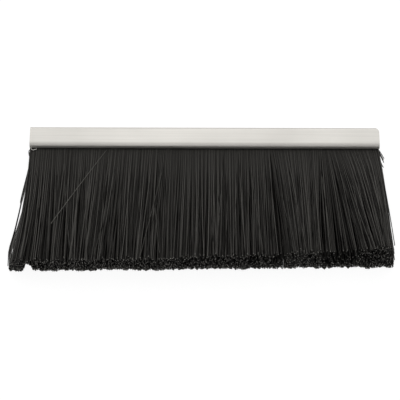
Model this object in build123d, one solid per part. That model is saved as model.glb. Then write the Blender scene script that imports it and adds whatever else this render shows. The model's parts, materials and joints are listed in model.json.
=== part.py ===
from build123d import *
import os
import random
from math import cos, radians, sin

# Metal-backed strip brush, lying on its back leg.
# X runs along the channel, the filaments point to -Y, and +Z is up.
# The origin is on the outer face of the channel's spine, halfway along it and halfway through it.
# Lengths are in millimetres and angles in degrees.

# Channel, roll-formed from one strip of sheet
channel_length = 178.0
channel_width = 11.1
channel_height = 11.1
sheet_thickness = 1.0
spine_bend_radius = 1.6
lip_radius = 2.8
lip_turn = 78.0
sheared_corner_radius = 0.8
rounded_corner_radius = 3.0

# Core wire, which the filaments are folded over
wire_diameter = 3.0
wire_end_inset = 0.4
wire_end_chamfer = 0.3
fold_thickness = 1.6

# Filament fill, in bundles that part from each other towards the tips
bundle_count = 24
strand_columns = 8
strand_rows = 4
trim_height_left = 74.2
trim_height_right = 71.8
tip_front_height_left = 12.4
tip_front_height_right = 15.6
tip_lean = 11.0
tip_raggedness = 1.3
tip_loft = 1.8
notch_depth = 3.8
bundle_parting = 0.5
strand_gap = 0.26
press_clearance = 0.05

# Shares of the sizes above
dense_length_share = 0.16
column_jitter_share = 0.45
row_jitter_share = 0.30
tip_jitter_share = 0.60
bundle_jitter_share = 0.22
upper_trim_shortfall_share = 0.035
lip_facets = 2
wire_way_facets = 8
# Places from the left end (0) to the right end (1), and the lean of the tips there in whole tip leans
lean_shares = {
    0.0: -0.99,
    0.042: -0.42,
    0.10: -0.34,
    0.22: -0.46,
    0.34: -0.32,
    0.49: 0.0,
    0.66: 0.16,
    0.70: 0.40,
    0.75: 0.52,
    0.82: 0.24,
    0.86: 0.50,
    0.93: 0.80,
    1.0: 0.56,
}
# Places of the wide partings, and their width in bundle partings
wide_parting_shares = {0.63: 2.2, 0.705: 4.4, 0.85: 2.6, 0.93: 1.8}
# Where the first bundle is notched at its tips, from its left edge (0) to its right edge (1)
notch_start_share = 0.55
notch_end_share = 0.86
shuffle_seed = 6343

overrun = 1.0

# Worked out from the sizes above
half_length = channel_length / 2
half_width = channel_width / 2
lip_angle = radians(lip_turn)
leg_end_y = -(channel_height - lip_radius * sin(lip_angle))
lip_centre_z = half_width - lip_radius
lip_inner_radius = lip_radius - sheet_thickness
fill_half = half_width - sheet_thickness - press_clearance
fill_top_y = -(sheet_thickness + press_clearance)
wire_radius = wire_diameter / 2
wire_y = -(sheet_thickness + fold_thickness + wire_radius)
floor_z = -half_width


def between(start, end, share):
    """Value at a share of the way from start to end."""
    return start + (end - start) * share


def section_point(y, z):
    """Point of a cross-section that stands square to the channel's length."""
    return Vector(0, y, z)


def arc_about(centre_y, centre_z, radius, from_angle, to_angle, side):
    """Arc of a cross-section, its angles measured from the side's own direction towards the mouth."""
    points = []
    for angle in (from_angle, (from_angle + to_angle) / 2, to_angle):
        y = centre_y - radius * sin(angle)
        z = centre_z + radius * cos(angle)
        points.append(section_point(y, side * z))
    return ThreePointArc(*points)


def leg_edges(side):
    """Outline of one leg, from the middle of the spine round the lip and back."""
    bend_centre_y = -spine_bend_radius
    bend_centre_z = half_width - spine_bend_radius
    quarter = radians(90)
    outer_bend = arc_about(bend_centre_y, bend_centre_z, spine_bend_radius, -quarter, 0, side)
    outer_lip = arc_about(leg_end_y, lip_centre_z, lip_radius, 0, lip_angle, side)
    inner_lip = arc_about(leg_end_y, lip_centre_z, lip_inner_radius, lip_angle, 0, side)
    inner_bend_radius = spine_bend_radius - sheet_thickness
    inner_bend = arc_about(bend_centre_y, bend_centre_z, inner_bend_radius, 0, -quarter, side)
    arcs = [outer_bend, outer_lip, inner_lip, inner_bend]
    edges = [Line(section_point(0, 0), outer_bend @ 0)]
    for arc, following in zip(arcs, arcs[1:]):
        edges += [arc, Line(arc @ 1, following @ 0)]
    edges += [inner_bend, Line(inner_bend @ 1, section_point(-sheet_thickness, 0))]
    return edges


def extrude_along(face, start_x, end_x):
    """Solid of a cross-section swept straight along X."""
    return Pos(start_x, 0, 0) * extrude(face, amount=end_x - start_x, dir=(1, 0, 0))


def corner_offcut(end_x, radius):
    """What is trimmed from the spine's corner at one end of the channel."""
    inward = -1 if end_x > 0 else 1
    height = channel_width + 2 * overrun
    block = Pos(end_x, 0, 0) * Box(2 * radius, 2 * radius, height)
    post = Pos(end_x + inward * radius, -radius, 0) * Cylinder(radius, height + overrun)
    return block - post


def make_channel():
    """U channel with rolled-in lips and trimmed spine corners."""
    halves = []
    for side in (1, -1):
        outline = Wire(leg_edges(side) + [Line(section_point(-sheet_thickness, 0), section_point(0, 0))])
        halves.append(extrude_along(Face(outline), -half_length, half_length))
    channel = halves[0] + halves[1]
    channel -= corner_offcut(-half_length, sheared_corner_radius)
    channel -= corner_offcut(half_length, rounded_corner_radius)
    return channel


def make_core_wire():
    """Straight wire along the channel, its cut ends eased."""
    wire_length = channel_length - 2 * wire_end_inset
    wire = Pos(0, wire_y, 0) * Rot(0, 90, 0) * Cylinder(wire_radius, wire_length)
    return chamfer(wire.edges().filter_by(GeomType.CIRCLE), wire_end_chamfer)


def root_outline():
    """Cross-section of the filaments folded over the wire, pressed into the channel's inner form."""
    corner_size = spine_bend_radius - sheet_thickness
    lip_fill_radius = lip_inner_radius - press_clearance
    outline = [(fill_top_y, fill_half - corner_size), (fill_top_y - corner_size, fill_half)]
    for facet in range(lip_facets + 1):
        angle = lip_angle * facet / lip_facets
        y = leg_end_y - lip_fill_radius * sin(angle)
        outline.append((y, lip_centre_z + lip_fill_radius * cos(angle)))
    neck_y, neck_half = outline.pop()
    neck_half -= press_clearance
    outline.append((neck_y, neck_half))
    near_leg = [section_point(y, z) for y, z in outline]
    far_leg = [section_point(y, -z) for y, z in reversed(outline)]
    wire_way = Plane.YZ * Pos(wire_y, 0) * RegularPolygon(
        wire_radius + press_clearance, wire_way_facets, major_radius=False
    )
    return Face(Wire.make_polygon(near_leg + far_leg)) - wire_way, neck_y, neck_half


def level_corners(y, x_span, z_span):
    """Corners, in order, of a rectangle square to the filaments at one height of the fill."""
    (x0, x1), (z0, z1) = x_span, z_span
    return [Vector(x0, y, z0), Vector(x1, y, z0), Vector(x1, y, z1), Vector(x0, y, z1)]


def tapered_block(near, far):
    """Solid with six flat faces between two level rectangles."""
    start, end = level_corners(*near), level_corners(*far)
    loops = [start, end]
    for corner in range(len(start)):
        following = (corner + 1) % len(start)
        loops.append([start[corner], start[following], end[following], end[corner]])
    return Solid(Shell([Face(Wire.make_polygon(loop)) for loop in loops]))


def uneven_shares(count, jitter_share, shuffle):
    """Edges of count uneven steps from 0 to 1."""
    inner = [(step + jitter_share * (shuffle.random() - 0.5)) / count for step in range(1, count)]
    return [0.0] + inner + [1.0]


def lean_share(place_share):
    """Lean of the tips at a place along the channel, in whole tip leans."""
    places = list(lean_shares.items())
    for (start, start_lean), (end, end_lean) in zip(places, places[1:]):
        if place_share <= end:
            break
    return between(start_lean, end_lean, (place_share - start) / (end - start))


def leaning_x(x):
    """Where a filament that leaves the channel at x ends at the tips."""
    return x + tip_lean * lean_share((x + half_length) / channel_length)


def notch_rise(index, column):
    """How much shorter a column of strands is cut than the ones round it."""
    place_share = (column + 0.5) / strand_columns
    in_notch = index == 0 and notch_start_share <= place_share <= notch_end_share
    return notch_depth if in_notch else 0


def parting_width(bundle_edge):
    """Width at the tips of the parting on the left of a bundle."""
    share = bundle_edge / bundle_count
    if bundle_edge in (0, bundle_count):
        return 0.0
    width = bundle_parting
    for place, widening in wide_parting_shares.items():
        if abs(place - share) <= 0.5 / bundle_count:
            width = bundle_parting * widening
    return width


def bundle_edges(shuffle):
    """Places along X of the partings between the bundles at the channel's mouth."""
    shares = uneven_shares(bundle_count, bundle_jitter_share, shuffle)
    return [between(-half_length, half_length, share) for share in shares]


def make_bundle(index, edges, shuffle):
    """One bundle: folded root, dense neck and separate strands down to ragged cut tips."""
    root_span = (edges[index], edges[index + 1])
    tip_left = leaning_x(root_span[0]) + parting_width(index) / 2
    tip_right = leaning_x(root_span[1]) - parting_width(index + 1) / 2
    face, neck_y, neck_half = root_outline()
    root = extrude_along(face, *root_span)

    length_share = (index + 0.5) / bundle_count
    trim_y = -between(trim_height_left, trim_height_right, length_share)
    tip_span = (tip_left, tip_right)
    front_height = between(tip_front_height_left, tip_front_height_right, length_share)
    tip_heights = (floor_z, front_height + tip_loft * (shuffle.random() - 0.5))
    dense_span = [between(a, b, dense_length_share) for a, b in zip(root_span, tip_span)]
    dense_heights = [between(a, b, dense_length_share) for a, b in zip((-neck_half, neck_half), tip_heights)]
    dense_y = between(neck_y, trim_y, dense_length_share)
    neck = tapered_block((neck_y, root_span, (-neck_half, neck_half)), (dense_y, dense_span, dense_heights))

    strands = []
    rows = uneven_shares(strand_rows, row_jitter_share, shuffle)
    for row in range(strand_rows):
        near_columns = uneven_shares(strand_columns, column_jitter_share, shuffle)
        far_columns = uneven_shares(strand_columns, tip_jitter_share, shuffle)
        near_z = [between(*dense_heights, share) for share in rows[row:row + 2]]
        far_z = [between(*tip_heights, share) for share in rows[row:row + 2]]
        far_z[0] += strand_gap / 2 if row > 0 else 0
        far_z[1] -= strand_gap / 2 if row < strand_rows - 1 else 0
        for column in range(strand_columns):
            near_x = [between(*dense_span, share) for share in near_columns[column:column + 2]]
            far_x = [between(*tip_span, share) for share in far_columns[column:column + 2]]
            far_x[0] += strand_gap / 2 if column > 0 else 0
            far_x[1] -= strand_gap / 2 if column < strand_columns - 1 else 0
            shortfall = upper_trim_shortfall_share * length_share * row / strand_rows
            far_y = trim_y * (1 - shortfall) + tip_raggedness * shuffle.random() + notch_rise(index, column)
            strands.append(tapered_block((dense_y, near_x, near_z), (far_y, far_x, far_z)))
    return root.fuse(neck, *strands)


def make_fill():
    """All bundles, by name, from the left end to the right end."""
    shuffle = random.Random(shuffle_seed)
    edges = bundle_edges(shuffle)
    fill = {}
    for index in range(bundle_count):
        fill[f"bristle_bundle_{index + 1:02d}"] = make_bundle(index, edges, shuffle)
    return fill


def main():
    """Builds every piece and writes one file for each."""
    os.makedirs("parts", exist_ok=True)
    pieces = {"channel": make_channel(), "core_wire": make_core_wire(), **make_fill()}
    for name, piece in pieces.items():
        export_step(piece, f"parts/{name}.step")


main()
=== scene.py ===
"""Looks of a metal-backed strip brush: rolled sheet channel, core wire and black nylon filaments."""

import sys

import json
import logging
import math
from dataclasses import dataclass, field
from enum import Enum

import bpy
import numpy as np
from bpy.types import Material, Mesh, Node, NodeSocket, NodeTree, Object, World
from mathutils import Matrix, Vector

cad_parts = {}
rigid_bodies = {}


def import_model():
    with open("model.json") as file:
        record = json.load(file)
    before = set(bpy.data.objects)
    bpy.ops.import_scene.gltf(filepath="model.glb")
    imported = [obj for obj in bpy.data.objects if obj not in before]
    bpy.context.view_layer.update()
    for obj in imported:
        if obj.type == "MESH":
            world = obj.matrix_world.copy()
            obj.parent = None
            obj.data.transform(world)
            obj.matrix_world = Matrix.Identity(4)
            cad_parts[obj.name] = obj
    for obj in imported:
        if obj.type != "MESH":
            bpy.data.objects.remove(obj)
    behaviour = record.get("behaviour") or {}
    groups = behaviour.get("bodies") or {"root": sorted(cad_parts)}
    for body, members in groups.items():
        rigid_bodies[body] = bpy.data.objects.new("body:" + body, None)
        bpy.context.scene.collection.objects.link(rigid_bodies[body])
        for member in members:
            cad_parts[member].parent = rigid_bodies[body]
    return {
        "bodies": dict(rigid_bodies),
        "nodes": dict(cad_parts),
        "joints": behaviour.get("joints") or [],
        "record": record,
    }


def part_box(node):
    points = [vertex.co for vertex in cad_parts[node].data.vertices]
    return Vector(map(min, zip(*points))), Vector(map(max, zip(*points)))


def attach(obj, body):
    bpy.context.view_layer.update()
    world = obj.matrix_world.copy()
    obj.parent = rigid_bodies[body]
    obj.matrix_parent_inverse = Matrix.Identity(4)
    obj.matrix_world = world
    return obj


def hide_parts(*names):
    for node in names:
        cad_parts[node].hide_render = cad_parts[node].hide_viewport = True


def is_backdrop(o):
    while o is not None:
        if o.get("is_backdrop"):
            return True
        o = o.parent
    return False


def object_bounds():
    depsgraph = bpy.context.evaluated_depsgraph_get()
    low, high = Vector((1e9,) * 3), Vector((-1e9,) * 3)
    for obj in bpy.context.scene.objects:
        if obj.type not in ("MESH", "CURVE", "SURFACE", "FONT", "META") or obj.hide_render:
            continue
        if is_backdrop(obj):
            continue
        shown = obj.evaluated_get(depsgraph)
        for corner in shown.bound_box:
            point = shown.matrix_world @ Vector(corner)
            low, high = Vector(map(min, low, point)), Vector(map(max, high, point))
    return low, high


LOG = logging.getLogger("strip_brush")
MM = 0.001
BODY = "root"
BUNDLE_PREFIX = "bristle_bundle_"
TONE_ATTRIBUTE = "filament_tone"
WHITE = (1.0, 1.0, 1.0, 1.0)

Colour = tuple[float, float, float]
PhotoPoints = tuple[tuple[float, float, float], ...]


class Slot(Enum):
    """Names of the record's material slots for the channel and the nylon."""

    CHANNEL = "channel_metal"
    NYLON = "black_nylon"


@dataclass(frozen=True)
class PhotoView:
    """The photograph's point of view, to place what is read off it by pixel.

    Attributes:
        aim: Point of the brush in the middle of the picture, in metres.
        elevation: Height of the view above the horizon, in degrees.
        roll: Turn of the picture about the line of view, in degrees.
        lens: Focal length, in millimetres.
        sensor: Width of the sensor, in millimetres.
        pixels: Width and height of the picture, in pixels.
        metres_per_pixel: Real size of one pixel at the aim.
    """

    aim: tuple[float, float, float] = (-2.25 * MM, -37.8 * MM, 0.0)
    elevation: float = 70.0
    roll: float = 0.17
    lens: float = 135.0
    sensor: float = 36.0
    pixels: float = 400.0
    metres_per_pixel: float = 0.505 * MM

    @property
    def distance(self) -> float:
        """Distance from the camera to the aim, in metres."""
        return self.pixels * self.metres_per_pixel * self.lens / self.sensor

    def matrix(self) -> Matrix:
        """Place and turn of the camera."""
        angle = math.radians(self.elevation)
        back = Vector((0, -math.cos(angle), math.sin(angle)))
        turn = (-back).to_track_quat("-Z", "Y").to_matrix().to_4x4()
        spin = Matrix.Rotation(math.radians(self.roll), 4, "Z")
        return Matrix.Translation(Vector(self.aim) + back * self.distance) @ turn @ spin

    def place(self, column: float, row: float, height: float) -> Vector:
        """Finds the point that shows at a pixel, on a level plane.

        Args:
            column: Pixels from the picture's left edge.
            row: Pixels from the picture's top edge.
            height: Height of the plane, in metres.

        Returns:
            The point, in metres.
        """
        step = self.sensor / self.pixels
        ray = Vector(((column - self.pixels / 2) * step, (self.pixels / 2 - row) * step, -self.lens))
        matrix = self.matrix()
        start = matrix.translation
        line = matrix.to_3x3() @ ray
        return start + line * ((height - start.z) / line.z)


VIEW = PhotoView()


def new_material(name: str) -> tuple[Material, NodeTree, Node]:
    """Makes a node material with its Principled shader.

    Args:
        name: Name of the material.

    Returns:
        The material, its node tree and its Principled shader node.
    """
    material = bpy.data.materials.new(name)
    material.use_nodes = True
    tree = material.node_tree
    return material, tree, tree.nodes["Principled BSDF"]


def add_group(tree: NodeTree, group: NodeTree, **values: float) -> Node:
    """Places a shared node group in a material.

    Args:
        tree: Tree of the material.
        group: The group to place.
        **values: Values of the group's inputs, by their names in lower case with underscores.

    Returns:
        The group's node.
    """
    node = tree.nodes.new("ShaderNodeGroup")
    node.node_tree = group
    for name, value in values.items():
        node.inputs[name.replace("_", " ").capitalize()].default_value = value
    return node


def fill_inputs(tree: NodeTree, node: Node, inputs: dict[str | int, object]) -> None:
    """Gives inputs of a node their values or links.

    Args:
        tree: Tree that the node is in.
        node: The node.
        inputs: For each input, by name or number, its value or the output that is linked to it.
    """
    for socket, value in inputs.items():
        if isinstance(value, NodeSocket):
            tree.links.new(value, node.inputs[socket])
        else:
            node.inputs[socket].default_value = value


def add_node(tree: NodeTree, kind: str, inputs: dict[str | int, object], **settings: str) -> Node:
    """Adds a shader node.

    Args:
        tree: Tree that it goes into.
        kind: Its type, after the word ShaderNode.
        inputs: For each input, by name or number, its value or the output that is linked to it.
        **settings: Its other settings.

    Returns:
        The node.
    """
    node = tree.nodes.new("ShaderNode" + kind)
    for name, value in settings.items():
        setattr(node, name, value)
    fill_inputs(tree, node, inputs)
    return node


def colour_ramp(
    tree: NodeTree, share: NodeSocket, stops: tuple[float, float], colours: tuple[Colour, Colour]
) -> NodeSocket:
    """Adds a ramp between two colours.

    Args:
        tree: Tree that it goes into.
        share: The output that picks the colour.
        stops: Positions of the two colours.
        colours: The two colours, linear.

    Returns:
        The ramp's colour.
    """
    ramp = add_node(tree, "ValToRGB", {"Fac": share})
    for element, position, colour in zip(ramp.color_ramp.elements, stops, colours):
        element.position = position
        element.color = (*colour, 1.0)
    return ramp.outputs["Color"]


def new_group(
    name: str, inputs: tuple[tuple[str, float], ...], outputs: tuple[tuple[str, str], ...]
) -> tuple[NodeTree, Node, Node]:
    """Makes an empty node group.

    Args:
        name: Name of the group.
        inputs: Names and usual values of its inputs.
        outputs: Names and kinds of its outputs.

    Returns:
        The group and its nodes for the inputs and the outputs.
    """
    group = bpy.data.node_groups.new(name, "ShaderNodeTree")
    for label, value in inputs:
        socket = group.interface.new_socket(label, in_out="INPUT", socket_type="NodeSocketFloat")
        socket.default_value = value
    for label, kind in outputs:
        group.interface.new_socket(label, in_out="OUTPUT", socket_type="NodeSocket" + kind)
    return group, group.nodes.new("NodeGroupInput"), group.nodes.new("NodeGroupOutput")


def stretched(tree: NodeTree, place: NodeSocket, scales: tuple[NodeSocket, ...]) -> NodeSocket:
    """Scales coordinates by another factor along each axis.

    Args:
        tree: Tree that it goes into.
        place: The coordinates.
        scales: Factors along X, Y and Z.

    Returns:
        The scaled coordinates.
    """
    factors = add_node(tree, "CombineXYZ", dict(zip("XYZ", scales))).outputs["Vector"]
    return add_node(tree, "VectorMath", {0: place, 1: factors}, operation="MULTIPLY").outputs["Vector"]


@dataclass
class LengthwiseMarks:
    """Node group: fine marks along X, as rolling and drawing leave on metal.

    Attributes:
        name: Name of the group.
        inputs: Names and usual values of its inputs.
        outputs: Names and kinds of its outputs.
        detail: Detail of the marks.
        roughness: How strongly the finest marks show.
        cloud_scale: Clouds for each metre.
        cloud_detail: Detail of the clouds.
        relief: Height of the marks, in metres.
    """

    name: str = "lengthwise_marks"
    inputs: tuple[tuple[str, float], ...] = (("Across scale", 2500.0), ("Along scale", 14.0), ("Depth", 0.1))
    outputs: tuple[tuple[str, str], ...] = (("Mask", "Float"), ("Cloud", "Float"), ("Normal", "Vector"))
    detail: float = 5.0
    roughness: float = 0.62
    cloud_scale: float = 38.0
    cloud_detail: float = 3.0
    relief: float = 0.02 * MM

    def build(self) -> NodeTree:
        """Makes the group.

        Returns:
            The group.
        """
        group, given, results = new_group(self.name, self.inputs, self.outputs)
        place = add_node(group, "TexCoord", {}).outputs["Object"]
        across, along = given.outputs["Across scale"], given.outputs["Along scale"]
        drawn = stretched(group, place, (along, across, across))
        marks = add_node(group, "TexNoise", {
            "Vector": drawn, "Scale": 1.0, "Detail": self.detail, "Roughness": self.roughness,
        })
        cloud = add_node(group, "TexNoise", {
            "Vector": place, "Scale": self.cloud_scale, "Detail": self.cloud_detail,
        })
        bump = add_node(group, "Bump", {
            "Distance": self.relief, "Strength": given.outputs["Depth"], "Height": marks.outputs["Fac"],
        })
        fill_inputs(group, results, {
            "Mask": marks.outputs["Fac"], "Cloud": cloud.outputs["Fac"], "Normal": bump.outputs["Normal"],
        })
        return group


@dataclass
class FilamentTone:
    """Node group: how the tone of nylon changes from filament to filament and along each.
    The change along each is partly dust and partly painted highlight where a filament bends,
    and near the mouth all tones are pulled towards one even tone, which evens out the painted highlight lines
    and painted shade there.

    Attributes:
        name: Name of the group.
        inputs: Names and usual values of its inputs.
        outputs: Names and kinds of its outputs.
        detail: Detail of the mottle.
        evening: Places along the filaments where their tones are most even and fully apart, in metres.
        least_apart: Share of a filament's own tone where they are most even.
    """

    name: str = "filament_tone"
    inputs: tuple[tuple[str, float], ...] = (
        ("Across scale", 1500.0), ("Along scale", 60.0), ("Mottle", 0.3), ("Even tone", 0.35),
    )
    outputs: tuple[tuple[str, str], ...] = (("Share", "Float"), ("Dust", "Float"))
    detail: float = 2.0
    evening: tuple[float, float] = (-10.0 * MM, -40.0 * MM)
    least_apart: float = 0.40

    def build(self) -> NodeTree:
        """Makes the group.

        Returns:
            The group.
        """
        group, given, results = new_group(self.name, self.inputs, self.outputs)
        own = add_node(group, "Attribute", {}, attribute_name=TONE_ATTRIBUTE)
        place = add_node(group, "TexCoord", {}).outputs["Object"]
        across, along = given.outputs["Across scale"], given.outputs["Along scale"]
        drawn = stretched(group, place, (across, along, across))
        # Partly dust and partly painted highlight: noise along each filament lightens and darkens its tone,
        # standing in for highlights where filaments bend.
        mottle = add_node(group, "TexNoise", {"Vector": drawn, "Scale": 1.0, "Detail": self.detail})
        mix = add_node(group, "Mix", {
            "Factor": given.outputs["Mottle"], "A": own.outputs["Fac"], "B": mottle.outputs["Fac"],
        })
        # Near the mouth the tones are pulled towards one even tone, evening out the painted highlight lines
        # and painted shade there.
        parts = add_node(group, "SeparateXYZ", {"Vector": place})
        most_even, fully_apart = self.evening
        apart = add_node(group, "MapRange", {
            "Value": parts.outputs["Y"], "From Min": most_even, "From Max": fully_apart,
            "To Min": self.least_apart,
        }, interpolation_type="SMOOTHSTEP")
        evened = add_node(group, "Mix", {
            "Factor": apart.outputs["Result"], "A": given.outputs["Even tone"], "B": mix.outputs["Result"],
        })
        fill_inputs(group, results, {"Share": evened.outputs["Result"], "Dust": mottle.outputs["Fac"]})
        return group


@dataclass(frozen=True)
class MetalFinish:
    """Bare metal with marks along its length.

    Attributes:
        name: Name of the material.
        dark: Linear colour in the marks.
        light: Linear colour between them.
        metallic: How metallic the surface is, from 0 to 1.
        smoothest: Roughness where the metal is cleanest.
        roughest: Roughness in the marks.
        across_scale: Marks for each metre across.
        along_scale: Breaks in the marks for each metre along.
        depth: Strength of the marks' relief.
        stops: Values of the marks' mask that give the dark and the light colour.
        clouding: Values of the clouds that give the lowest and the highest roughness.
    """

    name: str
    dark: Colour
    light: Colour
    metallic: float
    smoothest: float
    roughest: float
    across_scale: float
    along_scale: float
    depth: float
    stops: tuple[float, float] = (0.30, 0.68)
    clouding: tuple[float, float] = (0.3, 0.7)

    def build(self, marks: NodeTree) -> Material:
        """Makes the material.

        Args:
            marks: Node group of lengthwise marks.

        Returns:
            The material.
        """
        material, tree, shader = new_material(self.name)
        group = add_group(
            tree, marks, across_scale=self.across_scale, along_scale=self.along_scale, depth=self.depth
        )
        low, high = self.clouding
        rough = add_node(tree, "MapRange", {
            "Value": group.outputs["Cloud"], "From Min": low, "From Max": high,
            "To Min": self.smoothest, "To Max": self.roughest,
        })
        fill_inputs(tree, shader, {
            "Base Color": colour_ramp(tree, group.outputs["Mask"], self.stops, (self.dark, self.light)),
            "Metallic": self.metallic,
            "Roughness": rough.outputs["Result"],
            "Normal": group.outputs["Normal"],
        })
        return material


@dataclass(frozen=True)
class NylonFinish:
    """Nylon filament with a tone that mixes its own colour with painted highlight and painted shade, and a
    soft sheen.

    Attributes:
        name: Name of the material.
        dark: Linear colour of the darkest filament.
        light: Linear colour of the lightest filament.
        smoothest: Lowest roughness.
        roughest: Highest roughness.
        specular: Specular level of the shader.
        mottle: Share of the tone that changes along a filament, partly dust and partly painted highlight.
        sheen: Linear tint of its reflections.
        stops: Tones that give the dark and the light colour.
    """

    name: str
    dark: Colour
    light: Colour
    smoothest: float
    roughest: float
    specular: float
    mottle: float
    sheen: Colour = (1.0, 0.96, 0.89)
    stops: tuple[float, float] = (0.15, 0.85)

    def build(self, tone: NodeTree) -> Material:
        """Makes the material.

        Args:
            tone: Node group of the filaments' tone.

        Returns:
            The material.
        """
        material, tree, shader = new_material(self.name)
        group = add_group(tree, tone, mottle=self.mottle)
        rough = add_node(tree, "MapRange", {
            "Value": group.outputs["Dust"], "To Min": self.smoothest, "To Max": self.roughest,
        })
        fill_inputs(tree, shader, {
            "Base Color": colour_ramp(tree, group.outputs["Share"], self.stops, (self.dark, self.light)),
            "Roughness": rough.outputs["Result"],
            "Specular IOR Level": self.specular,
            "Specular Tint": (*self.sheen, 1.0),
        })
        return material


SHEET_FINISH = MetalFinish(
    name="galvanised_sheet",
    dark=(0.60, 0.583, 0.548),
    light=(0.68, 0.661, 0.622),
    metallic=0.85,
    smoothest=0.32,
    roughest=0.42,
    across_scale=1500.0,
    along_scale=11.0,
    depth=0.14,
)
WIRE_FINISH = MetalFinish(
    name="drawn_wire",
    dark=(0.24, 0.24, 0.235),
    light=(0.46, 0.455, 0.44),
    metallic=1.0,
    smoothest=0.30,
    roughest=0.5,
    across_scale=4000.0,
    along_scale=40.0,
    depth=0.3,
)
# The light end of this ramp colours the light filaments, which are partly painted highlight lines.
NYLON_FINISH = NylonFinish(
    name="black_nylon",
    dark=(0.0015, 0.0015, 0.0014),
    light=(0.108, 0.1045, 0.097),
    smoothest=0.34,
    roughest=0.52,
    specular=0.42,
    mottle=0.2,
)
# The light end of this ramp is partly painted glint on the cut faces, over the nylon's own dark colour.
CUT_GLINT_FINISH = NylonFinish(
    name="cut_nylon",
    dark=(0.006, 0.006, 0.006),
    light=(0.36, 0.35, 0.325),
    smoothest=0.5,
    roughest=0.7,
    specular=0.5,
    mottle=0.1,
)
# Pale nylon for the pale loose filaments, the dust specks and the painted glints at the lip's edge.
LOOSE_FINISH = NylonFinish(
    name="pale_nylon_dust_and_glint",
    dark=(0.035, 0.034, 0.031),
    light=(0.17, 0.165, 0.15),
    smoothest=0.4,
    roughest=0.55,
    specular=0.5,
    mottle=0.3,
)


@dataclass
class Tubes:
    """Lines of many thin tubes of the same number of stations.

    Attributes:
        paths: Points of each tube, of shape (tubes, stations, 3), in metres.
        radius: Radius of the tubes, in metres.
        tones: Tone of each tube's sides, from 0 (dark) to 1 (light).
        cut_tones: Tone of each tube's cut ends.
        slants: Slope of each tube's last end, as cut, towards the sky.
    """

    paths: np.ndarray
    radius: float
    tones: np.ndarray
    cut_tones: np.ndarray
    slants: np.ndarray

    def only(self, chosen: np.ndarray) -> "Tubes":
        """The chosen tubes alone."""
        return Tubes(
            self.paths[chosen], self.radius, self.tones[chosen], self.cut_tones[chosen], self.slants[chosen]
        )


@dataclass(frozen=True)
class TubeMesher:
    """Builds many thin closed tubes as one mesh.

    Attributes:
        sides: Sides of a tube's section.
    """

    sides: int = 5

    def points(self, tubes: Tubes) -> np.ndarray:
        """Places the corners of all sections.

        Args:
            tubes: The lines to follow.

        Returns:
            Points of shape (tubes, stations, sides, 3), in metres.
        """
        along = np.gradient(tubes.paths, axis=1)
        along /= np.linalg.norm(along, axis=2, keepdims=True)
        across = np.cross(along, np.array([0.0, 0.0, 1.0]))
        across /= np.maximum(np.linalg.norm(across, axis=2, keepdims=True), sys.float_info.epsilon)
        upward = np.cross(across, along)
        angles = np.arange(self.sides) * (2 * math.pi / self.sides) + math.pi / 2
        aside, above = np.cos(angles)[:, None], np.sin(angles)[:, None]
        ring = across[:, :, None, :] * aside + upward[:, :, None, :] * above
        points = tubes.paths[:, :, None, :] + ring * tubes.radius
        cut = tubes.slants[:, None, None] * above[None] * tubes.radius
        points[:, -1] -= along[:, -1, None, :] * cut
        return points

    def build(self, name: str, tubes: Tubes, materials: list[Material]) -> Object:
        """Makes one object of all the tubes.

        Args:
            name: Name of the object.
            tubes: The lines to follow.
            materials: Finish of the sides and of the cut ends.

        Returns:
            The object.
        """
        points = self.points(tubes)
        count, stations, sides, _ = points.shape
        own = stations * sides
        corner = np.arange(sides)
        following = (corner + 1) % sides
        first = np.arange(count)[:, None, None] * own + np.arange(stations - 1)[None, :, None] * sides
        quads = np.stack(
            [first + corner, first + sides + corner, first + sides + following, first + following], axis=-1
        ).reshape(-1, 4)
        start = np.arange(count)[:, None] * own
        caps = np.concatenate([start + corner, start + own - sides + corner[::-1]])

        mesh = bpy.data.meshes.new(name)
        mesh.vertices.add(count * own)
        mesh.vertices.foreach_set("co", points.astype(np.float32).ravel())
        corners = np.concatenate([quads.ravel(), caps.ravel()])
        mesh.loops.add(len(corners))
        mesh.loops.foreach_set("vertex_index", corners.astype(np.int32))
        totals = np.concatenate([np.full(len(quads), quads.shape[1]), np.full(len(caps), sides)])
        mesh.polygons.add(len(totals))
        mesh.polygons.foreach_set("loop_start", (np.cumsum(totals) - totals).astype(np.int32))
        mesh.polygons.foreach_set("loop_total", totals.astype(np.int32))
        is_cap = np.arange(len(totals)) >= len(quads)
        mesh.polygons.foreach_set("use_smooth", ~is_cap)
        mesh.polygons.foreach_set("material_index", is_cap.astype(np.int32))
        mesh.update(calc_edges=True)
        self.sharpen_rims(mesh, stations, sides)
        tones = np.concatenate([
            np.repeat(tubes.tones, own * quads.shape[1] - sides * quads.shape[1]),
            np.tile(np.repeat(tubes.cut_tones, sides), 2),
        ])
        tone = mesh.attributes.new(TONE_ATTRIBUTE, "FLOAT", "CORNER")
        tone.data.foreach_set("value", tones.astype(np.float32))
        for material in materials:
            mesh.materials.append(material)
        piece = bpy.data.objects.new(name, mesh)
        bpy.context.scene.collection.objects.link(piece)
        return piece

    def sharpen_rims(self, mesh: Mesh, stations: int, sides: int) -> None:
        """Marks the rims of the cut ends as sharp, so that the sides shade evenly up to them.

        Args:
            mesh: The tubes' mesh.
            stations: Sections of each tube.
            sides: Corners of each section.
        """
        ends = np.zeros(len(mesh.edges) * 2, np.int32)
        mesh.edges.foreach_get("vertices", ends)
        station = (ends.reshape(-1, 2) // sides) % stations
        level = station[:, 0] == station[:, 1]
        outermost = (station[:, 0] == 0) | (station[:, 0] == stations - 1)
        sharp = mesh.attributes.new("sharp_edge", "BOOLEAN", "EDGE")
        sharp.data.foreach_set("value", level & outermost)


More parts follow.
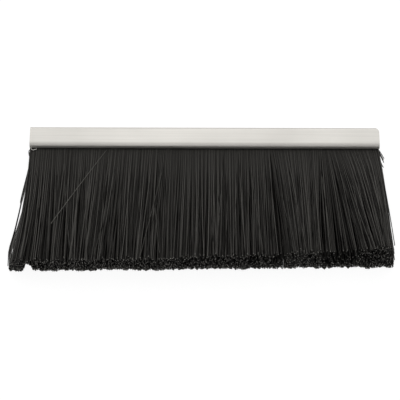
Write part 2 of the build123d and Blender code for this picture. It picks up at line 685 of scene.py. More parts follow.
@dataclass
class KeptPiece:
    """A rigid piece that is kept as the frame has it.

    Attributes:
        node: Name of its node.
    """

    node: str

    def dress(self, frame: dict, material: Material) -> None:
        """Gives the piece its finish.

        Args:
            frame: The loaded frame.
            material: The finish.
        """
        piece = frame["nodes"][self.node]
        for slot in piece.material_slots:
            slot.material = material
        LOG.info("%s dressed", piece.name)


@dataclass
class Channel(KeptPiece):
    """The folded sheet channel."""

    node: str = "channel"


@dataclass
class CoreWire(KeptPiece):
    """The straight wire in the fold of the filaments."""

    node: str = "core_wire"


@dataclass(frozen=True)
class FilamentSizes:
    """Sizes that the whole fill shares.

    Attributes:
        diameter: Diameter of a filament, in metres.
        column_pitch: Distance between columns of filaments along the channel, in metres.
        rows: Filament legs across the channel's mouth.
        mouth_half: Half of the mouth's width, at the outermost filaments' middles, in metres.
        root_depth: How far inside the mouth a leg starts, in metres.
    """

    diameter: float = 0.45 * MM
    column_pitch: float = 0.50 * MM
    rows: int = 13
    mouth_half: float = 2.68 * MM
    root_depth: float = 2.2 * MM

    @property
    def radius(self) -> float:
        """Radius of a filament, in metres."""
        return self.diameter / 2


@dataclass(frozen=True)
class Gathering:
    """How filaments draw together into clumps of one size.

    Attributes:
        legs: Filament legs in a usual clump.
        height_weight: How much height counts against length when a leg joins the nearest clump.
        most_pull: Greatest share of the way to the clump's middle.
        shift: Spread of the clumps' own shifts, in metres.
        bow: Spread of the clumps' own bows, in metres.
    """

    legs: int
    height_weight: float
    most_pull: float
    shift: float
    bow: float


@dataclass
class FilamentFill:
    """The black filaments, each a tube of its own, grouped by the bundles of the frame.

    Attributes:
        sizes: Sizes of the fill.
        stagger: Share of the pitch by which every second row is shifted.
        root_jitters: Spread of the roots along and across the channel, as shares of their pitches.
        front_lay: Columns of the photograph where a front filament starts and ends.
        lay_rows: Rows of the photograph where those starts and ends are read.
        lay_heights: Heights of those starts and ends, in metres.
        front_height_left: Height of the front filaments' tips at the left end, in metres.
        front_height_right: Height of the front filaments' tips at the right end, in metres.
        back_lean_left: Lean of the back filaments' tips at the left end, in metres.
        back_lean_right: Lean of the back filaments' tips at the right end, in metres.
        back_lean_power: How steeply the back filaments' lean grows towards the ends.
        front_shares: Places through the fill, from back to front, where the photo's lay starts and rules.
        fan_powers: At the left and right end, above 1 for fanning out late and below 1 for early.
        fan_reach_power: How steeply that grows towards the ends.
        height_power: Above 1, the tips lie closer together near the floor.
        trim_left: Length of the brush at the left end, from spine to tips, in metres.
        trim_right: Length of the brush at the right end, in metres.
        trim_back: How much shorter the front filaments are cut at the right end, in metres.
        trim_back_powers: How steeply that grows towards the right and towards the front.
        unevenness: Spread of the cut lengths from lump to lump, in metres.
        lump_pitch: Distance between those lumps, in metres.
        raggedness_back: Spread of the cut lengths at the back, in metres.
        raggedness_front: Spread of the cut lengths at the front, in metres.
        short_share: Share of filaments that are clearly short, at the front.
        short_most: The most that such a filament is short, in metres.
        notch_columns: Columns of the photograph between which the tips are notched.
        notch_depth: Depth of the notch at the floor, in metres.
        notch_top: Share of the fill's height over which the notch fades.
        notch_steepness: How steep its sides are.
        notch_spread: Least and greatest share of the depth by which a filament is cut.
        gatherings: The sizes of clump, from large to small.
        looseness_shares: Places through the fill, from back to front, where gathering starts and is in full.
        wander: Spread of each tip's own shift along the channel and in height, in metres.
        least_loose: Share of that shift that the back rows have.
        bow: Spread of each filament's own bow, in metres.
        bow_rise: Factor on a bow's curve between mouth and tip.
        wild_share: Share of filaments that cross their neighbours, where the fill is loose.
        wild_wander: Spread of their tips along the channel and in height, in metres.
        wild_reach: Share of the channel's half length within which they are.
        parting_power: Above 1, clumps part from each other only towards the tips.
        station_shares: Places of the sections from the mouth to the tips.
        light_every: Neighbours among which one filament is light, partly a painted highlight line along it.
        least_light: Lowest tone of a light filament.
        most_dark: Highest tone of the others.
        inner_painted_shade: Tone factor of the filaments in the middle of the fill beside the outermost ones,
            a painted shade for the deeper rows that the front and back rows cover.
        outer_power: How steeply that painted shade lifts towards the outermost filaments.
        cut_power: Above 1, most cut ends are dark and few are light, the light ones partly painted glints on
            the cut faces.
        most_slant: Steepest cut end.
        seed: Seed of the random draws.
        mesher: Makes the meshes.
    """

    sizes: FilamentSizes = FilamentSizes()
    stagger: float = 0.5
    root_jitters: tuple[float, float] = (0.22, 0.3)
    front_lay: tuple[tuple[float, float], ...] = (
        (29.5, 11.2), (38, 24), (45, 36), (60, 53), (80, 72), (108, 95), (125, 115), (150, 142), (170, 165),
        (200, 200), (235, 236), (247, 249), (249, 256), (262, 268), (269, 274), (270, 286), (285, 300),
        (300, 309), (318, 320), (321, 328.5), (325, 338), (328, 347), (332, 357), (338, 366.5), (346, 374.5),
        (355, 381), (366, 387), (379.5, 391.5),
    )
    lay_rows: tuple[float, float] = (149.0, 262.0)
    lay_heights: tuple[float, float] = (3.0 * MM, 8.0 * MM)
    front_height_left: float = 12.4 * MM
    front_height_right: float = 15.6 * MM
    back_lean_left: float = -8.6 * MM
    back_lean_right: float = 5.9 * MM
    back_lean_power: float = 2.4
    front_shares: tuple[float, float] = (0.35, 0.85)
    fan_powers: tuple[float, float] = (1.82, 0.65)
    fan_reach_power: float = 4.0
    height_power: float = 1.45
    trim_left: float = 74.05 * MM
    trim_right: float = 71.65 * MM
    trim_back: float = 4.6 * MM
    trim_back_powers: tuple[int, int] = (3, 2)
    unevenness: float = 0.34 * MM
    lump_pitch: float = 1.3 * MM
    raggedness_back: float = 0.22 * MM
    raggedness_front: float = 0.75 * MM
    short_share: float = 0.015
    short_most: float = 3.0 * MM
    notch_columns: tuple[float, float] = (22.0, 32.2)
    notch_depth: float = 4.3 * MM
    notch_top: float = 0.72
    notch_steepness: float = 4.0
    notch_spread: tuple[float, float] = (0.85, 1.15)
    gatherings: tuple[Gathering, ...] = (
        Gathering(legs=60, height_weight=0.30, most_pull=0.12, shift=0.18 * MM, bow=0.10 * MM),
        Gathering(legs=5, height_weight=0.55, most_pull=0.45, shift=0.30 * MM, bow=0.18 * MM),
    )
    looseness_shares: tuple[float, float] = (0.25, 0.78)
    wander: tuple[float, float] = (1.2 * MM, 0.7 * MM)
    least_loose: float = 0.08
    bow: float = 0.22 * MM
    bow_rise: float = 4.0
    wild_share: float = 0.16
    wild_wander: tuple[float, float] = (2.2 * MM, 0.8 * MM)
    wild_reach: float = 0.94
    parting_power: float = 1.5
    station_shares: tuple[float, ...] = (0.0, 0.2, 0.42, 0.64, 0.84, 1.0)
    light_every: int = 2
    least_light: float = 0.34
    most_dark: float = 0.12
    inner_painted_shade: float = 0.05
    outer_power: float = 3.5
    cut_power: float = 2.2
    most_slant: float = 1.1
    seed: int = 6343
    mesher: TubeMesher = field(default_factory=TubeMesher)

    def spans(self, frame: dict) -> list[tuple[str, float, float]]:
        """Finds where each bundle of the frame leaves the channel.

        Args:
            frame: The loaded frame.

        Returns:
            One (name, left, right) for each bundle, in metres.
        """
        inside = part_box(Channel().node)[0].y / 2
        found = []
        for name in sorted(n for n in frame["nodes"] if n.startswith(BUNDLE_PREFIX)):
            mesh = frame["nodes"][name].data
            places = np.zeros(len(mesh.vertices) * 3, np.float32)
            mesh.vertices.foreach_get("co", places)
            places = places.reshape(-1, 3)
            root = places[places[:, 1] > inside]
            found.append((name, float(root[:, 0].min()), float(root[:, 0].max())))
        return found

    def roots(self, half_length: float, draw: np.random.Generator) -> tuple[np.ndarray, np.ndarray]:
        """Spreads the legs over the channel's mouth, packed side by side.

        Args:
            half_length: Half of the channel's length, in metres.
            draw: Source of random numbers.

        Returns:
            Each leg's place along the channel, in metres, and its share of the way from back to front.
        """
        columns = round(2 * half_length / self.sizes.column_pitch)
        column, row = np.meshgrid(np.arange(columns), np.arange(self.sizes.rows), indexing="ij")
        column, row = column.ravel(), row.ravel()
        jitter = draw.random((2, len(column))) - 0.5
        shifted = column + self.stagger / 2 + self.stagger * (row % 2)
        along = (shifted + self.root_jitters[0] * jitter[0]) / (columns + self.stagger)
        across = (row + 0.5 + self.root_jitters[1] * jitter[1]) / self.sizes.rows
        reach = half_length - self.sizes.radius
        return np.clip(half_length * (2 * along - 1), -reach, reach), across

    def tips(
        self, root_x: np.ndarray, across: np.ndarray, half_length: float, floor_z: float
    ) -> tuple[np.ndarray, np.ndarray]:
        """Fans the legs out to their tips, before they gather into clumps.

        Args:
            root_x: Place of each leg along the channel, in metres.
            across: Share of each leg from back to front.
            half_length: Half of the channel's length, in metres.
            floor_z: Height that the brush rests on, in metres.

        Returns:
            Place of each tip along the channel and its height, in metres.
        """
        starts, ends = (
            [VIEW.place(lay[end], self.lay_rows[end], self.lay_heights[end]).x for lay in self.front_lay]
            for end in (0, 1)
        )
        front_x = np.interp(root_x, starts, ends)
        share = root_x / half_length
        lean = np.where(share < 0, self.back_lean_left, self.back_lean_right)
        back_x = root_x + lean * np.abs(share) ** self.back_lean_power
        low, high = self.front_shares
        tip_x = back_x + (front_x - back_x) * np.clip((across - low) / (high - low), 0, 1)
        right_share = (share + 1) / 2
        top_z = self.front_height_left + (self.front_height_right - self.front_height_left) * right_share
        rise = top_z - floor_z - self.sizes.radius
        return tip_x, floor_z + self.sizes.radius + rise * across ** self.height_power

    def gather(
        self, tips: np.ndarray, size: Gathering, draw: np.random.Generator
    ) -> tuple[np.ndarray, np.ndarray]:
        """Draws tips together into clumps.

        Args:
            tips: Place along the channel and height of each tip, in metres.
            size: Size and strength of the clumps.
            draw: Source of random numbers.

        Returns:
            How far each tip moves, and each leg's bow from its clump, in metres.
        """
        count = len(tips)
        clumps = count // size.legs
        leaders = draw.choice(count, clumps, replace=False)
        weighed = tips * np.array([1.0, size.height_weight])
        nearest = np.concatenate([
            np.argmin(((part[:, None, :] - weighed[leaders][None, :, :]) ** 2).sum(axis=2), axis=1)
            for part in np.array_split(weighed, self.sizes.rows)
        ])
        pull = draw.uniform(0, size.most_pull, clumps)[nearest]
        shift = draw.normal(0, size.shift, (clumps, 2))[nearest]
        bow = draw.normal(0, size.bow, (clumps, 2))[nearest]
        return (tips[leaders][nearest] - tips) * pull[:, None] + shift, bow

    def cut(
        self, tip_x: np.ndarray, across: np.ndarray, half_length: float, draw: np.random.Generator
    ) -> np.ndarray:
        """Trims the filaments.

        Args:
            tip_x: Place of each tip along the channel, in metres.
            across: Share of each leg from back to front.
            half_length: Half of the channel's length, in metres.
            draw: Source of random numbers.

        Returns:
            Place of each tip along the filaments, in metres.
        """
        count = len(tip_x)
        right_share = np.clip((tip_x / half_length + 1) / 2, 0, 1)
        trim = self.trim_left + (self.trim_right - self.trim_left) * right_share
        rightwards, frontwards = self.trim_back_powers
        trim = trim - self.trim_back * right_share ** rightwards * across ** frontwards
        knots = np.arange(tip_x.min(), tip_x.max() + self.lump_pitch, self.lump_pitch)
        trim = trim + np.interp(tip_x, knots, draw.normal(0, self.unevenness, len(knots)))
        spread = self.raggedness_back + (self.raggedness_front - self.raggedness_back) * across
        trim = trim - np.abs(draw.normal(0, 1, count)) * spread
        short = draw.random(count) < self.short_share * across
        trim = trim - np.where(short, draw.uniform(0, self.short_most, count), 0)
        left, right = (VIEW.place(column, self.lay_rows[1], 0.0).x for column in self.notch_columns)
        from_side = np.minimum(tip_x - left, right - tip_x) / (right - left)
        fading = np.clip(1 - across ** self.height_power / self.notch_top, 0, 1)
        notch = np.clip(self.notch_steepness * from_side, 0, 1) * fading
        return -(trim - self.notch_depth * notch * draw.uniform(*self.notch_spread, count))

    def tones(self, across: np.ndarray, draw: np.random.Generator) -> np.ndarray:
        """Picks the filaments' tones, which differ at random; the light ones, standing apart from each other,
        are partly painted highlight lines, and the tone falls as painted shade towards the middle of the fill.

        Args:
            across: Share of each leg from back to front, column after column.
            draw: Source of random numbers.

        Returns:
            Tone of each filament.
        """
        count, rows = len(across), self.sizes.rows
        # Painted highlight: one filament in each group of neighbours gets a light tone, standing in for the
        # highlight line along a lit filament; the tones within each group still differ at random.
        column, row = np.divmod(np.arange(count), rows)
        turns = draw.integers(0, self.light_every, (count // rows + 1, rows))
        is_painted_highlight = column % self.light_every == turns[column // self.light_every, row]
        share = draw.random(count)
        tones = np.where(is_painted_highlight, self.least_light + (1 - self.least_light) * share, self.most_dark * share)
        # Painted shade: the tone falls towards the middle of the fill, where the front and back rows cover the
        # deeper ones.
        return tones * (self.inner_painted_shade + (1 - self.inner_painted_shade) * np.abs(2 * across - 1) ** self.outer_power)

    def lines(self) -> tuple[Tubes, np.ndarray]:
        """Lays all filaments.

        Returns:
            The filaments, and the place of each along the channel, in metres.
        """
        draw = np.random.default_rng(self.seed)
        low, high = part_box(Channel().node)
        half_length, floor_z, mouth_y = high.x, low.z, low.y
        root_x, across = self.roots(half_length, draw)
        count = len(root_x)
        root_z = self.sizes.mouth_half * (2 * across - 1)
        tips = np.stack(self.tips(root_x, across, half_length, floor_z), axis=1)
        fanned = tips.copy()
        bows = draw.normal(0, self.bow, (count, 2))
        start, end = self.looseness_shares
        looseness = np.clip((across - start) / (end - start), 0, 1)[:, None]
        for size in self.gatherings:
            moves, clump_bows = self.gather(tips, size, draw)
            tips = tips + moves * looseness
            bows = bows + clump_bows
        wandering = self.least_loose + (1 - self.least_loose) * looseness
        tips = tips + draw.normal(0, 1, (count, 2)) * np.array(self.wander) * wandering
        within_reach = np.abs(root_x) < self.wild_reach * half_length
        wild = draw.random(count) < self.wild_share * looseness[:, 0] * within_reach
        tips[wild] += draw.normal(0, 1, (int(wild.sum()), 2)) * np.array(self.wild_wander)
        leftmost, rightmost = fanned[:, 0].min(), fanned[:, 0].max()
        tips[:, 0] = leftmost + np.abs(tips[:, 0] - leftmost)
        tips[:, 0] = rightmost - np.abs(rightmost - tips[:, 0])
        tip_y = self.cut(tips[:, 0], across, half_length, draw)

        mouth = np.stack([root_x, np.full(count, mouth_y), root_z], axis=1)
        inside = mouth + np.array([0.0, self.sizes.root_depth, 0.0])
        fan = np.stack([fanned[:, 0], tip_y, fanned[:, 1]], axis=1) - mouth
        parting = tips - fanned
        stations = [inside]
        aside = root_x / half_length
        fan_power = 1 + (np.where(aside < 0, *self.fan_powers) - 1) * np.abs(aside) ** self.fan_reach_power
        for share in self.station_shares:
            arch = self.bow_rise * share * share * (1 - share)
            point = mouth + fan * share
            point[:, 0] = root_x + fan[:, 0] * share ** fan_power
            point[:, 0::2] += parting * share ** self.parting_power + bows * arch
            stations.append(point)
        paths = np.stack(stations, axis=1)
        paths[:, :, 2] = np.maximum(paths[:, :, 2], floor_z + self.sizes.radius)
        slants = draw.uniform(0, self.most_slant, count)
        # Painted glint: a few cut ends get light tones.
        cut_tones = draw.random(count) ** self.cut_power
        tubes = Tubes(paths, self.sizes.radius, self.tones(across, draw), cut_tones, slants)
        return tubes, root_x

    def build(self, frame: dict, materials: list[Material]) -> list[Object]:
        """Makes all filaments, one piece for each bundle.

        Args:
            frame: The loaded frame.
            materials: Finish of the sides and of the cut ends.

        Returns:
            The pieces, from left to right.
        """
        tubes, root_x = self.lines()
        pieces = []
        for name, left, right in self.spans(frame):
            chosen = (root_x >= left) & (root_x < right)
            piece_name = "filaments_" + name.removeprefix(BUNDLE_PREFIX)
            piece = self.mesher.build(piece_name, tubes.only(chosen), materials)
            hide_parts(name)
            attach(piece, BODY)
            pieces.append(piece)
            LOG.info("%s: %d filament legs", piece.name, int(chosen.sum()))
        return pieces


@dataclass
class EndFolds:
    """The fold of the filaments over the core wire, where the channel's open ends show it.

    Attributes:
        sizes: Sizes of the fill.
        columns: Columns of filaments folded at each end.
        stations: Sections of a folded filament between its two legs.
        outer_gap: Room between the outermost fold and the sheet's inner faces, in metres.
        tone_power: Above 1, most filaments are dark and few are light.
        seed: Seed of the random draws.
        mesher: Makes the meshes.
    """

    sizes: FilamentSizes = FilamentSizes()
    columns: int = 3
    stations: int = 9
    outer_gap: float = 1.1 * MM
    tone_power: float = 1.7
    seed: int = 29
    mesher: TubeMesher = field(default_factory=TubeMesher)

    def loop(self, x: float, layer: int) -> np.ndarray:
        """Lays one filament from leg to leg round the wire.

        Args:
            x: Place of its column along the channel, in metres.
            layer: Its place among the layers, from 0 at the wire.

        Returns:
            Points of shape (stations + 2, 3), in metres.
        """
        channel_low, channel_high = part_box(Channel().node)
        wire_low, wire_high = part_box(CoreWire().node)
        middle_y, wire_radius = (wire_low.y + wire_high.y) / 2, wire_high.z
        layers = self.sizes.rows // 2
        share = layer / (layers - 1)
        near, far = wire_radius + self.sizes.radius, channel_high.z - self.outer_gap - self.sizes.radius
        half_width = near + (far - near) * share
        top = channel_high.y - self.outer_gap - self.sizes.radius - middle_y
        height = near + (top - near) * share
        leg_z = self.sizes.mouth_half * 2 * (layer + 1) / self.sizes.rows
        leg_y = channel_low.y + self.sizes.root_depth
        angles = np.linspace(-math.pi / 2, math.pi / 2, self.stations)
        arc_y, arc_z = middle_y + height * np.cos(angles), half_width * np.sin(angles)
        arc = np.stack([np.full(self.stations, x), arc_y, arc_z], axis=1)
        return np.concatenate([[[x, leg_y, -leg_z]], arc, [[x, leg_y, leg_z]]])

    def build(self, materials: list[Material]) -> list[Object]:
        """Makes the folds at both ends of the channel.

        Args:
            materials: Finish of the sides and of the cut ends.

        Returns:
            The pieces, left and right.
        """
        draw = np.random.default_rng(self.seed)
        half_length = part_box(Channel().node)[1].x
        pieces = []
        for name, side in (("fold_left", -1), ("fold_right", 1)):
            loops = [
                self.loop(side * (half_length - self.sizes.radius - column * self.sizes.column_pitch), layer)
                for column in range(self.columns)
                for layer in range(self.sizes.rows // 2)
            ]
            tones = draw.random(len(loops)) ** self.tone_power
            tubes = Tubes(np.array(loops), self.sizes.radius, tones, tones, np.zeros(len(loops)))
            piece = self.mesher.build(name, tubes, materials)
            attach(piece, BODY)
            pieces.append(piece)
            LOG.info("%s: %d folded filaments", piece.name, len(loops))
        return pieces


def smooth_line(points: PhotoPoints, floor_z: float, stations: int) -> np.ndarray:
    """Lays a line smoothly through points that the photograph shows.

    Args:
        points: Column and row in the photograph, and height over the floor in millimetres.
        floor_z: Height that the brush rests on, in metres.
        stations: Points to lay.

    Returns:
        Points of shape (stations, 3), in metres.
    """
    places = np.array([VIEW.place(column, row, floor_z + height * MM) for column, row, height in points])
    at = np.linspace(0, 1, len(places))
    bend = np.stack([np.polyfit(at, places[:, axis], len(places) - 1) for axis in range(3)], axis=1)
    along = np.linspace(0, 1, stations)
    return np.stack([np.polyval(bend[:, axis], along) for axis in range(3)], axis=1)


@dataclass(frozen=True)
class Stray:
    """One loose filament or speck, seated on the fill where the photograph shows it.

    Attributes:
        points: Column and row in the photograph, and height over the floor in millimetres, along its line.
        tone: Its tone, from 0 (dark) to 1 (light).
    """

    points: PhotoPoints
    tone: float


@dataclass
class Burr:
    """Curl of metal that the shears left at the front lip's left corner.

    Attributes:
        points: Column and row in the photograph, and height over the floor in millimetres, along its line.
        thickness: Its thickness, in metres.
        stations: Its sections.
        mesher: Makes the mesh.
    """

    points: PhotoPoints = (
        (30.9, 147.6, 9.3), (32.2, 149.8, 9.0), (34.2, 149.9, 9.0), (36.8, 148.8, 8.9),
    )
    thickness: float = 0.4 * MM
    stations: int = 9
    mesher: TubeMesher = field(default_factory=TubeMesher)

    def build(self, floor_z: float, material: Material) -> Object:
        """Makes the burr.

        Args:
            floor_z: Height that the brush rests on, in metres.
            material: Finish of the sheet.

        Returns:
            The piece.
        """
        path = smooth_line(self.points, floor_z, self.stations)
        none = np.zeros(1)
        tube = Tubes(path[None], self.thickness / 2, none, none, none)
        piece = self.mesher.build("burr", tube, [material] * 2)
        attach(piece, BODY)
        LOG.info("%s built", piece.name)
        return piece


@dataclass
class LooseFilaments:
    """Single filaments that lie across the fill or stand off it, specks of dust on it, and two painted glints
    at the lip's lower edge.

    Attributes:
        pale_diameter: Diameter of the pale ones, in metres.
        dark_diameter: Diameter of the dark ones, in metres.
        stations: Sections of each.
        pale: Those that show lighter than the fill. The last four are the specks: the first two are painted
            glints on the lip's lower edge, the last two are dust.
        dark: Those as dark as the fill.
        mesher: Makes the meshes.
    """

    pale_diameter: float = 0.28 * MM
    dark_diameter: float = 0.45 * MM
    stations: int = 9
    pale: tuple[Stray, ...] = (
        Stray(((107, 149.5, 8.5), (80, 184.5, 11.7), (51, 223.5, 15)), 0.9),
        Stray(((162, 172, 10.45), (151.5, 212, 14.5), (140, 256, 18.4)), 0.22),
        Stray(((155, 208, 14), (157, 230, 15.45), (159.5, 253, 17.6)), 0.26),
        Stray(((108.7, 153, 8.7), (106, 202, 12.85), (93.7, 255, 16.9)), 0.12),
        Stray(((251, 168, 10.55), (256, 205, 14.6), (263, 250, 18.7)), 0.16),
        Stray(((322, 177, 11.4), (327, 212, 15.3), (332, 252, 19.4)), 0.2),
        Stray(((353.5, 186, 13), (359, 215, 16.3), (366, 248, 18.8)), 0.2),
        # Painted glints: these two pale specks on the lip's lower edge stand in for light caught by its burr.
        Stray(((114.4, 149.9, 8.45), (115, 149.5, 8.5), (115.7, 149.7, 8.45)), 0.5),
        Stray(((167.5, 150.2, 8.45), (168.1, 149.8, 8.5), (168.7, 150.1, 8.45)), 0.4),
        Stray(((63.4, 256.6, 18.35), (63.8, 257.4, 18.4), (64.2, 258.2, 18.45)), 1),
        Stray(((199.6, 253.9, 17.95), (200, 254.7, 18), (200.4, 255.5, 18.05)), 0.8),
    )
    dark: tuple[Stray, ...] = (
        Stray(((31, 149.6, 7), (28.9, 151.5, 7.4), (29.4, 156, 8.2), (31.8, 161, 9)), 0.3),
        Stray(((31.6, 150.4, 6.6), (29.7, 152.5, 7), (30, 156, 7.8), (32.2, 160, 8.6)), 0.6),
        Stray(((377.6, 148.5, 6.6), (381, 153.5, 8.4), (384, 158.6, 10)), 0.3),
        Stray(((377, 148.5, 6.2), (380.5, 154.5, 8), (383.4, 160.2, 9.6)), 0.5),
        Stray(((376.8, 149.5, 6), (380.4, 156, 7.8), (383.8, 162.6, 9.4)), 0.3),
        Stray(((376.6, 152, 6), (379.4, 159, 7.6), (382.6, 166.4, 9.2)), 0.5),
        Stray(((376.6, 154, 6), (379.6, 160.6, 7.6), (383.4, 167.4, 9.2)), 0.3),
        Stray(((31, 160, 8), (27, 175, 9), (21.2, 198, 10), (22, 202, 10.2)), 0.3),
        Stray(((31, 158, 5.5), (23.2, 193, 6.6), (15.2, 228, 7.6), (9.9, 246, 8.2), (8.1, 263, 8.4)), 0.4),
        Stray(((31, 158, 4.5), (23.4, 193, 5.2), (15.6, 228, 5.8), (10.6, 246, 6.2), (9.2, 265, 6.4)), 0.3),
        Stray(((31.1, 158, 3.5), (23.3, 193, 4), (15.4, 228, 4.3), (10.1, 247, 4.5), (7.9, 266, 4.6)), 0.5),
        Stray(((31.2, 158, 2.9), (23.7, 193, 2.7), (15.9, 228, 2.7), (11.4, 247, 2.7), (10.4, 267, 2.6)), 0.4),
        Stray(((31.2, 158, 2.8), (23.5, 193, 2), (15.6, 228, 1.7), (10.8, 247, 1.6), (9, 268, 1.6)), 0.3),
        Stray(((27.5, 190, 7), (23.2, 208, 8), (18.2, 225, 8.8), (13.4, 243, 9.2), (9.7, 262, 9.4)), 0.9),
        Stray(((27.2, 192, 5.5), (22.8, 211, 6.2), (17.3, 228, 7), (12.5, 245, 7.6), (10.6, 263, 7.8)), 0.5),
        Stray(((27, 194, 4.2), (22.4, 213, 4.8), (16.7, 230, 5.3), (12, 247, 5.6), (11.2, 266, 5.8)), 0.8),
        Stray(((27, 194, 3), (22.2, 214, 3.1), (17.1, 230, 3.2), (13.3, 247, 3.2), (12.4, 268, 3.2)), 0.5),
        Stray(((26.8, 195, 1.7), (22, 215, 1.7), (15.8, 232, 1.7), (11.8, 249, 1.7), (11.4, 267, 1.7)), 0.4),
        Stray(((26.6, 192, 6), (22.7, 211, 7), (18, 230, 7.8), (13.9, 246, 8.2), (11.2, 263, 8.4)), 0.6),
        Stray(((26.6, 194, 2.4), (22.4, 213, 2.4), (17.6, 232, 2.4), (13.8, 248, 2.4), (12.8, 267, 2.4)), 0.5),
        Stray(((29, 172, 7.5), (26.6, 181, 8.2), (25.1, 189, 8.8), (23.3, 197, 9.4), (21.9, 202, 9.8)), 1),
    )
    mesher: TubeMesher = field(default_factory=TubeMesher)

    def build(self, floor_z: float, pale: list[Material], dark: list[Material]) -> list[Object]:
        """Makes the loose filaments, the pale ones as one piece and the dark ones as another.

        Args:
            floor_z: Height that the brush rests on, in metres.
            pale: Finish of the pale filaments' sides and ends.
            dark: Finish of the dark filaments' sides and ends.

        Returns:
            The two pieces.
        """
        pieces = []
        for name, lines, diameter, materials in (
            ("loose_pale", self.pale, self.pale_diameter, pale),
            ("loose_dark", self.dark, self.dark_diameter, dark),
        ):
            paths = np.array([smooth_line(line.points, floor_z, self.stations) for line in lines])
            tones = np.array([line.tone for line in lines])
            tubes = Tubes(paths, diameter / 2, tones, tones, np.zeros(len(lines)))
            piece = self.mesher.build(name, tubes, materials)
            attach(piece, BODY)
            pieces.append(piece)
            LOG.info("%s: %d lines", piece.name, len(lines))
        return pieces


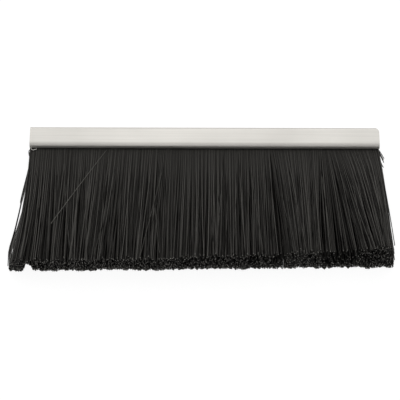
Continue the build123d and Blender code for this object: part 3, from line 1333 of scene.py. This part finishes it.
@dataclass
class Studio:
    """Plain pale floor, soft light from above and behind, and the camera.

    Attributes:
        floor_side: Side of the floor, in metres.
        floor_drop: How far the floor lies under the brush, in metres.
        floor_colour: Grey of the floor, by which it passes light on.
        shown_share: Share of that light that the camera sees, which carries the shadow.
        shown_glow: Even white that the camera and reflections see beside it.
        sky_bright: Strength of the world above and behind the brush.
        sky_dark: Strength of the world in front of the brush and below.
        sky_bright_way: Direction of the bright side.
        sky_edges: Cosines from that direction where the dark side ends and the bright side starts.
        panel_size: Length and depth of the lamp over the brush, in metres.
        panel_place: Middle of that lamp, in metres.
        panel_power: Its power, in watts.
        clip_ratio: How many times nearer and further than the aim the camera still sees.
    """

    floor_side: float = 8.0
    floor_drop: float = 0.05 * MM
    floor_colour: float = 0.86
    shown_share: float = 0.28
    shown_glow: float = 0.89
    sky_bright: float = 0.90
    sky_dark: float = 0.09
    sky_bright_way: tuple[float, float, float] = (0.0, 0.97, 0.243)
    sky_edges: tuple[float, float] = (0.03, 1.0)
    panel_size: tuple[float, float] = (1.0, 3.5)
    panel_place: tuple[float, float, float] = (0.0, -0.35, 1.0)
    panel_power: float = 8.9
    clip_ratio: float = 20.0

    def floor_material(self) -> Material:
        """Makes the floor's finish, which shows white with the brush's shadow kept.

        Returns:
            The material.
        """
        material, tree, shader = new_material("pale_floor")
        path = add_node(tree, "LightPath", {}).outputs
        seen = path["Is Camera Ray"]
        for kind in ("Is Glossy Ray", "Is Transmission Ray"):
            seen = add_node(tree, "Math", {0: seen, 1: path[kind]}, operation="MAXIMUM").outputs["Value"]
        grey = add_node(tree, "MapRange", {
            "Value": seen, "To Min": self.floor_colour, "To Max": self.floor_colour * self.shown_share,
        })
        glow = add_node(tree, "Math", {0: seen, 1: self.shown_glow}, operation="MULTIPLY")
        fill_inputs(tree, shader, {
            "Base Color": grey.outputs["Result"],
            "Roughness": 1.0,
            "Specular IOR Level": 0.0,
            "Emission Color": WHITE,
            "Emission Strength": glow.outputs["Value"],
        })
        return material

    def floor(self, level: float) -> Object:
        """Makes the floor.

        Args:
            level: Height of the floor, in metres.

        Returns:
            The floor's object.
        """
        half = self.floor_side / 2
        mesh = bpy.data.meshes.new("floor")
        corners = [(-half, -half, level), (half, -half, level), (half, half, level), (-half, half, level)]
        mesh.from_pydata(corners, [], [range(len(corners))])
        mesh.materials.append(self.floor_material())
        floor = bpy.data.objects.new("floor", mesh)
        bpy.context.scene.collection.objects.link(floor)
        floor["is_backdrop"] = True
        return floor

    def sky(self) -> World:
        """Makes the world, bright above and behind the brush and dark in front of it.

        Returns:
            The world.
        """
        world = bpy.data.worlds.new("studio")
        bpy.context.scene.world = world
        world.use_nodes = True
        tree = world.node_tree
        way = add_node(tree, "TexCoord", {}).outputs["Generated"]
        towards = add_node(tree, "VectorMath", {0: way, 1: self.sky_bright_way}, operation="DOT_PRODUCT")
        dark_end, bright_start = self.sky_edges
        strength = add_node(tree, "MapRange", {
            "Value": towards.outputs["Value"], "From Min": dark_end, "From Max": bright_start,
            "To Min": self.sky_dark, "To Max": self.sky_bright,
        }, interpolation_type="SMOOTHSTEP")
        fill_inputs(tree, tree.nodes["Background"], {"Color": WHITE, "Strength": strength.outputs["Result"]})
        return world

    def panel(self) -> Object:
        """Makes the large lamp over the brush.

        Returns:
            The lamp's object.
        """
        lamp = bpy.data.lights.new("overhead_panel", "AREA")
        lamp.shape = "RECTANGLE"
        lamp.size, lamp.size_y = self.panel_size
        lamp.energy = self.panel_power
        panel = bpy.data.objects.new("overhead_panel", lamp)
        panel.location = self.panel_place
        bpy.context.scene.collection.objects.link(panel)
        return panel

    def camera(self) -> Object:
        """Makes the camera.

        Returns:
            The camera's object.
        """
        data = bpy.data.cameras.new("camera")
        data.lens = VIEW.lens
        data.sensor_width = VIEW.sensor
        data.clip_start, data.clip_end = VIEW.distance / self.clip_ratio, VIEW.distance * self.clip_ratio
        camera = bpy.data.objects.new("camera", data)
        camera.matrix_world = VIEW.matrix()
        bpy.context.scene.collection.objects.link(camera)
        bpy.context.scene.camera = camera
        return camera

    def build(self, floor_z: float) -> None:
        """Makes the floor, world, lamp and camera.

        Args:
            floor_z: Height that the brush rests on, in metres.
        """
        self.sky()
        for item in (self.floor(floor_z - self.floor_drop), self.panel(), self.camera()):
            LOG.info("%s set up", item.name)


def main() -> None:
    """Builds the brush's looks round the frame and reports each piece."""
    logging.basicConfig(level=logging.INFO, format="%(message)s")
    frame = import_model()
    cad_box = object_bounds()
    floor_z = cad_box[0].z
    marks = LengthwiseMarks().build()
    tone = FilamentTone().build()
    nylon, cut, loose = (finish.build(tone) for finish in (NYLON_FINISH, CUT_GLINT_FINISH, LOOSE_FINISH))
    sheet = SHEET_FINISH.build(marks)
    Channel().dress(frame, sheet)
    CoreWire().dress(frame, WIRE_FINISH.build(marks))
    FilamentFill().build(frame, [nylon, cut])
    EndFolds().build([nylon, cut])
    Burr().build(floor_z, sheet)
    LooseFilaments().build(floor_z, [loose, loose], [nylon, cut])
    Studio().build(floor_z)
    bpy.context.scene.view_settings.view_transform = "Standard"


if __name__ == "__main__":
    main()
